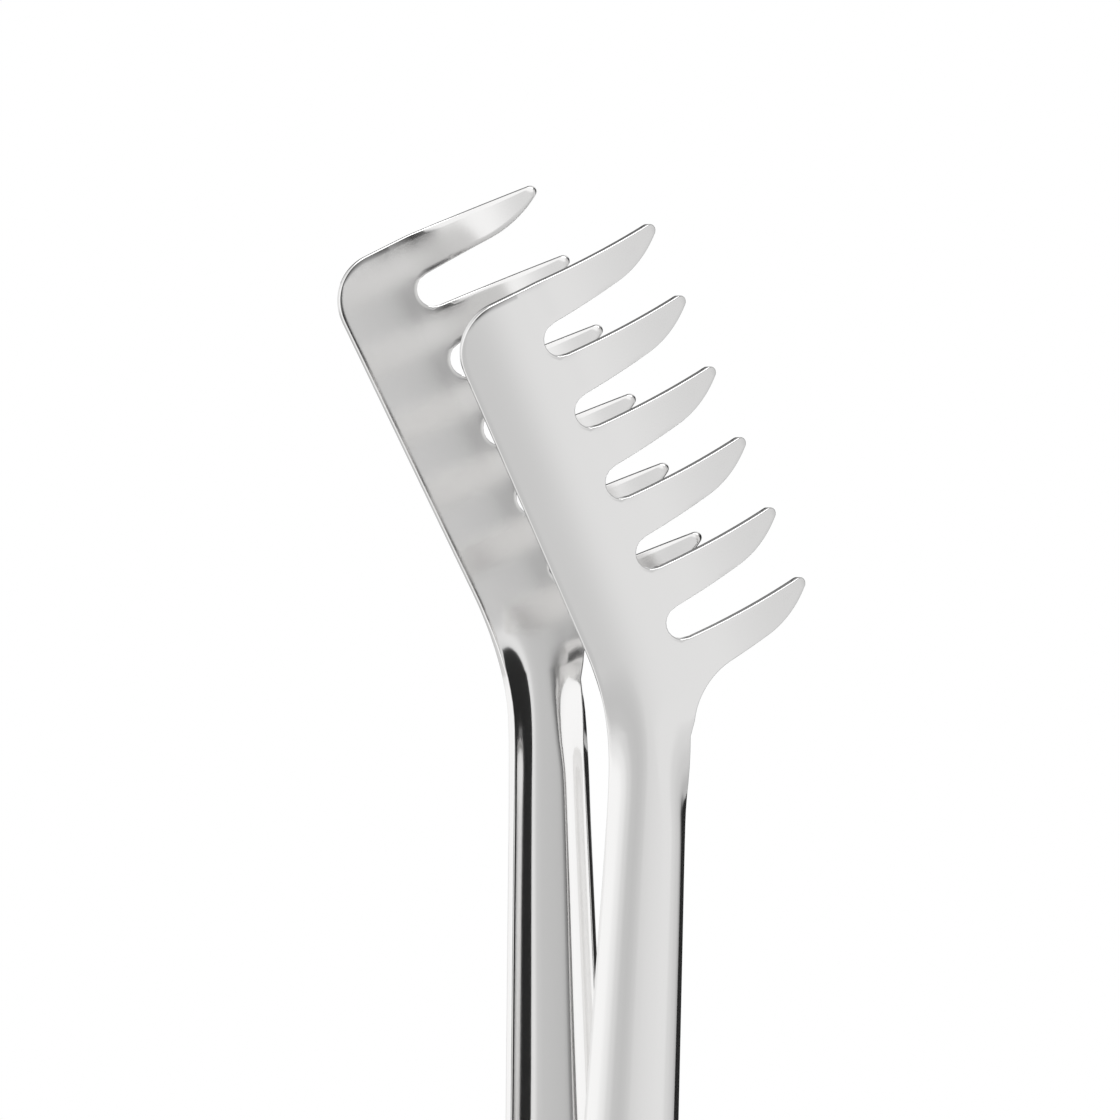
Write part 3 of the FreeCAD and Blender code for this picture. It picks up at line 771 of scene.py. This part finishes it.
def spring_path():
    """Centre line of the wire: the near arm's leg, the coil round the hinge and the far arm's leg."""
    clear = WEB_OFFSET - SHEET - WIRE / 2 - LEG_CLEAR
    tilt = radians(OPEN_HALF_ANGLE)
    leg_y = clear * cos(tilt) + LEG_REACH * sin(tilt)
    dip = acos(COIL_RADIUS / hypot(leg_y, LEG_REACH)) - atan2(LEG_REACH, leg_y)
    turning = 2 * pi * COIL_TURNS + pi - 2 * dip
    share = np.linspace(0, 1, COIL_STEPS * COIL_TURNS + 1)
    angle = pi + dip + turning * share
    x = COIL_HALF * mix(2 * share - 1, 2 * smooth(share) - 1, COIL_SETTLE)
    coil = np.stack([x, COIL_RADIUS * np.cos(angle), COIL_RADIUS * np.sin(angle)], 1)
    legs = np.linspace(0, 1, LEG_STEPS + 1)[:-1, None]
    near_leg = mix(np.array([-COIL_HALF, -leg_y, LEG_REACH]), coil[0], legs)
    far_leg = mix(np.array([COIL_HALF, leg_y, LEG_REACH]), coil[-1], legs)[::-1]
    return np.concatenate([near_leg, coil, far_leg])


# ---------------------------------------------------------------- materials
class Shader:
    """Short calls for adding and linking nodes."""

    def __init__(self, tree):
        self.nodes, self.links = tree.nodes, tree.links

    def add(self, kind, **settings):
        node = self.nodes.new("ShaderNode" + kind)
        for name, value in settings.items():
            setattr(node, name, value)
        return node

    def put(self, socket, value):
        if hasattr(value, "is_output"):
            self.links.new(value, socket)
        else:
            socket.default_value = value

    def noise(self, place, scale, detail):
        node = self.add("TexNoise")
        self.put(node.inputs["Vector"], place)
        node.inputs["Scale"].default_value = scale
        node.inputs["Detail"].default_value = detail
        return node.outputs["Fac"]

    def bump(self, height, distance, below=None):
        node = self.add("Bump")
        node.inputs["Strength"].default_value = 1.0
        node.inputs["Distance"].default_value = distance
        self.put(node.inputs["Height"], height)
        if below:
            self.put(node.inputs["Normal"], below)
        return node.outputs["Normal"]

    def math(self, operation, *values):
        node = self.add("Math", operation=operation)
        for socket, value in zip(node.inputs, values):
            self.put(socket, value)
        return node.outputs[0]

    def span(self, value, low, high, start=0.0, end=1.0, kind="SMOOTHSTEP"):
        node = self.add("MapRange", interpolation_type=kind)
        for socket, item in zip(node.inputs, (value, low, high, start, end)):
            self.put(socket, item)
        return node.outputs[0]

    def ramp(self, value, stops, kind="EASE"):
        node = self.add("ValToRGB")
        node.color_ramp.interpolation = kind
        elements = node.color_ramp.elements
        while len(elements) < len(stops):
            elements.new(0.5)
        for element, (place, level) in zip(elements, stops):
            element.position = place
            element.color = (level, level, level, 1)
        self.put(node.inputs[0], value)
        return node.outputs[0]

    def mix(self, share, first, second):
        node = self.add("Mix", data_type="RGBA")
        self.put(node.inputs[0], share)
        self.put(node.inputs[6], first)
        self.put(node.inputs[7], second)
        return node.outputs[2]


LINE_DENSITY = 40                # noise cells per metre for each unit of grain
SMEAR_SCALE = 55.0
DENT_SCALE = 90.0
RIM_POINTINESS = (0.52, 0.60)    # rims start and end to show at these values of the Pointiness output
RIM_DULL = 0.10                  # roughness added on the rims


def steel(name, tone, roughness, scratch, wave, grain=(60, 60, 6)):
    """Metal with long fine scratches, a slightly uneven polish and duller rims."""
    material = bpy.data.materials.new(name)
    material.use_nodes = True
    tree = Shader(material.node_tree)
    base = material.node_tree.nodes["Principled BSDF"]
    base.inputs["Metallic"].default_value = 1.0

    place = tree.add("TexCoord").outputs["Object"]
    stretch = tree.add("Mapping")
    stretch.inputs["Scale"].default_value = [g * LINE_DENSITY for g in grain]
    tree.put(stretch.inputs["Vector"], place)
    lines = tree.noise(stretch.outputs["Vector"], 1.0, 3.0)
    smears = tree.noise(place, SMEAR_SCALE, 4.0)
    dents = tree.noise(place, DENT_SCALE, 1.0)

    polish = tree.span(smears, 0.0, 1.0, roughness * 0.8, roughness * 1.25, "LINEAR")
    pointiness = tree.add("NewGeometry").outputs["Pointiness"]
    rims = tree.span(pointiness, *RIM_POINTINESS, 0.0, RIM_DULL, "LINEAR")
    tree.put(base.inputs["Roughness"], tree.math("ADD", polish, rims))

    tint = tree.add("MapRange", data_type="FLOAT_VECTOR")
    tint.inputs[9].default_value = [c * 0.97 for c in tone]
    tint.inputs[10].default_value = tone
    tree.put(tint.inputs[6], smears)
    tree.put(base.inputs["Base Color"], tint.outputs["Vector"])

    uneven = tree.bump(dents, wave * MM)
    tree.put(base.inputs["Normal"], tree.bump(lines, scratch * MM, uneven))
    return material


def dress(obj, material):
    obj.data.materials.clear()
    obj.data.materials.append(material)


# ---------------------------------------------------------------- the object
near = arm("near_arm_sheet", -1, SHEET + EAR_GAP, gate_slot())
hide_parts("near_arm")
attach(near, "near_arm")

far = arm("far_arm_sheet", 1, 0.0, straight_slot())
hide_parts("far_arm")
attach(far, "far_arm")

spring = soften(tube("wound_spring", spring_path(), WIRE / 2))
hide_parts("opening_spring")

polished = steel("polished_steel", (0.84, 0.835, 0.83), 0.10, 0.0004, 0.0012)
turned = steel("turned_steel", (0.70, 0.70, 0.71), 0.22, 0.001, 0.001, (6, 60, 60))
stamped = steel("stamped_steel", (0.66, 0.66, 0.67), 0.30, 0.0012, 0.002, (30, 30, 30))
drawn = steel("drawn_wire", (0.50, 0.50, 0.52), 0.26, 0.0012, 0.001, (30, 30, 30))
tumbled = steel("tumbled_steel", (0.74, 0.74, 0.75), 0.20, 0.0008, 0.002, (25, 25, 25))

for piece in (near, far):
    dress(piece, polished)
dress(spring, drawn)
finishes = {"hinge_pin": turned, "lock_pin": turned, "hinge_bush": turned,
            "hinge_washer_left": stamped, "hinge_washer_right": stamped, "lock_slide": tumbled}
for node, material in finishes.items():
    dress(frame["nodes"][node], material)
    soften(frame["nodes"][node], 32)
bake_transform(spring)


# ---------------------------------------------------------------- studio
FLOOR_NEAR = 0.25
FLOOR_FAR = 0.75


def pale_floor():
    """Pale ground at the lock's lowest reach, which brightens to the white backdrop further out."""
    size = 6.0
    level = cad_low.z - LOCK_TRAVEL * MM
    floor = mesh_object("floor", [(-size, -size, level), (size, -size, level), (size, size, level),
                                  (-size, size, level)], [(0, 1, 2, 3)])
    material = bpy.data.materials.new("pale_floor")
    material.use_nodes = True
    tree = Shader(material.node_tree)
    base = material.node_tree.nodes["Principled BSDF"]
    base.inputs["Base Color"].default_value = (0.80, 0.80, 0.80, 1)
    base.inputs["Roughness"].default_value = 0.8
    white = tree.add("Emission")
    away = tree.add("VectorMath", operation="LENGTH")
    tree.links.new(tree.add("TexCoord").outputs["Object"], away.inputs[0])
    fade = tree.add("MixShader")
    tree.put(fade.inputs[0], tree.span(away.outputs["Value"], FLOOR_NEAR, FLOOR_FAR))
    tree.links.new(base.outputs[0], fade.inputs[1])
    tree.links.new(white.outputs[0], fade.inputs[2])
    tree.links.new(fade.outputs[0], material.node_tree.nodes["Material Output"].inputs["Surface"])
    dress(floor, material)
    floor.visible_glossy = False


# Brightness mirrored by the steel against azimuth in degrees: 0 is in front at -Y, 90 is at +X.
LEVEL_TONES = [(-180, 0.02), (-173, 0.80), (-150, 1.00), (-110, 1.10), (-30, 1.13), (-8, 1.08), (-2, 0.12),
               (4, 0.04), (9, 0.30), (13, 0.62), (19, 0.68), (28, 0.90), (60, 0.80), (90, 0.65), (104, 0.45),
               (110, 0.02), (144, 0.02), (150, 0.85), (160, 0.78), (166, 0.52), (170, 0.04), (178, 0.02)]
LOW_TONES = [(-180, 0.55), (-130, 0.75), (-100, 0.95), (-56, 1.12), (-45, 0.97), (-32, 0.80), (-15, 0.66),
             (0, 0.64), (8, 0.66), (13.5, 0.70), (18, 0.90), (35, 0.90), (52, 0.80), (80, 0.72), (110, 0.55),
             (150, 0.62), (178, 0.62)]
HIGH_TONES = [(-180, 0.45), (-100, 0.50), (-75, 1.15), (-5, 1.15), (12, 0.45), (178, 0.45)]

CARD_X = 0.027
CARD_NEAR, CARD_FAR = -0.015, 0.027
CARD_LOW, CARD_TOP = 0.140, 0.250


def black_card():
    """Dark card beside the handles that is seen only as a reflection in the steel."""
    places = ((CARD_NEAR, CARD_LOW), (CARD_FAR, CARD_LOW), (CARD_FAR, CARD_TOP), (CARD_NEAR, CARD_TOP))
    card = mesh_object("card", [(CARD_X, y, z) for y, z in places], [(0, 1, 2, 3)])
    material = bpy.data.materials.new("matt_black")
    material.use_nodes = True
    base = material.node_tree.nodes["Principled BSDF"]
    base.inputs["Base Color"].default_value = (0.01, 0.01, 0.01, 1)
    base.inputs["Roughness"].default_value = 1.0
    dress(card, material)
    card.visible_camera = card.visible_diffuse = card.visible_shadow = card.visible_transmission = False


def tent():
    """Surroundings that the polished steel mirrors; the camera itself sees a plain white backdrop."""
    world = bpy.data.worlds.new("tent")
    bpy.context.scene.world = world
    world.use_nodes = True
    world.node_tree.nodes.clear()
    tree = Shader(world.node_tree)
    split = tree.add("SeparateXYZ")
    tree.links.new(tree.add("TexCoord").outputs["Generated"], split.inputs[0])
    x, y, z = split.outputs
    azimuth = tree.math("ARCTAN2", x, tree.math("MULTIPLY", y, -1.0))
    turns = tree.span(azimuth, -pi, pi, kind="LINEAR")
    low, level, high = (tree.ramp(turns, [((angle + 180) / 360, tone) for angle, tone in tones])
                        for tones in (LOW_TONES, LEVEL_TONES, HIGH_TONES))
    body = tree.mix(tree.span(z, sin(radians(-15)), sin(radians(-9))), low, level)
    whole = tree.mix(tree.span(z, sin(radians(14)), sin(radians(38))), body, high)
    rays = tree.add("LightPath")
    plain = tree.math("MAXIMUM", rays.outputs["Is Camera Ray"], rays.outputs["Is Diffuse Ray"])
    light = tree.add("Background")
    tree.put(light.inputs["Color"], tree.mix(plain, whole, (1, 1, 1, 1)))
    tree.links.new(light.outputs[0], tree.add("OutputWorld").inputs["Surface"])


def softbox(name, location, target, size, watts):
    light = bpy.data.lights.new(name, "AREA")
    light.shape = "RECTANGLE"
    light.size, light.size_y = size
    light.energy = watts
    obj = link(bpy.data.objects.new(name, light))
    obj.location = location
    obj.rotation_euler = (Vector(target) - Vector(location)).to_track_quat("-Z", "Y").to_euler()
    return obj


VIEW_AZIMUTH = -14.9
VIEW_ELEVATION = 6.99
VIEW_ROLL = 0.8
VIEW_DISTANCE = 1.2512
LENS = 288.4
VIEW_CENTRE = Vector((-0.00575, 0.0, 0.24475))


def photo_camera():
    data = bpy.data.cameras.new("camera")
    data.lens = LENS
    data.sensor_width = 36
    data.clip_start, data.clip_end = 0.05, 50
    camera = link(bpy.data.objects.new("camera", data))
    turn, rise = radians(VIEW_AZIMUTH), radians(VIEW_ELEVATION)
    back = Vector((sin(turn) * cos(rise), -cos(turn) * cos(rise), sin(rise)))
    camera.location = VIEW_CENTRE + back * VIEW_DISTANCE
    facing = (-back).to_track_quat("-Z", "Y").to_matrix()
    camera.rotation_euler = (facing @ Matrix.Rotation(radians(VIEW_ROLL), 3, "Z")).to_euler()
    bpy.context.scene.camera = camera


pale_floor()
tent()
black_card()
softbox("top_box", (0, -0.3, 1.5), (0, 0, 0.2), (1.2, 1.2), 12)
photo_camera()
bpy.context.scene.view_settings.view_transform = "Standard"
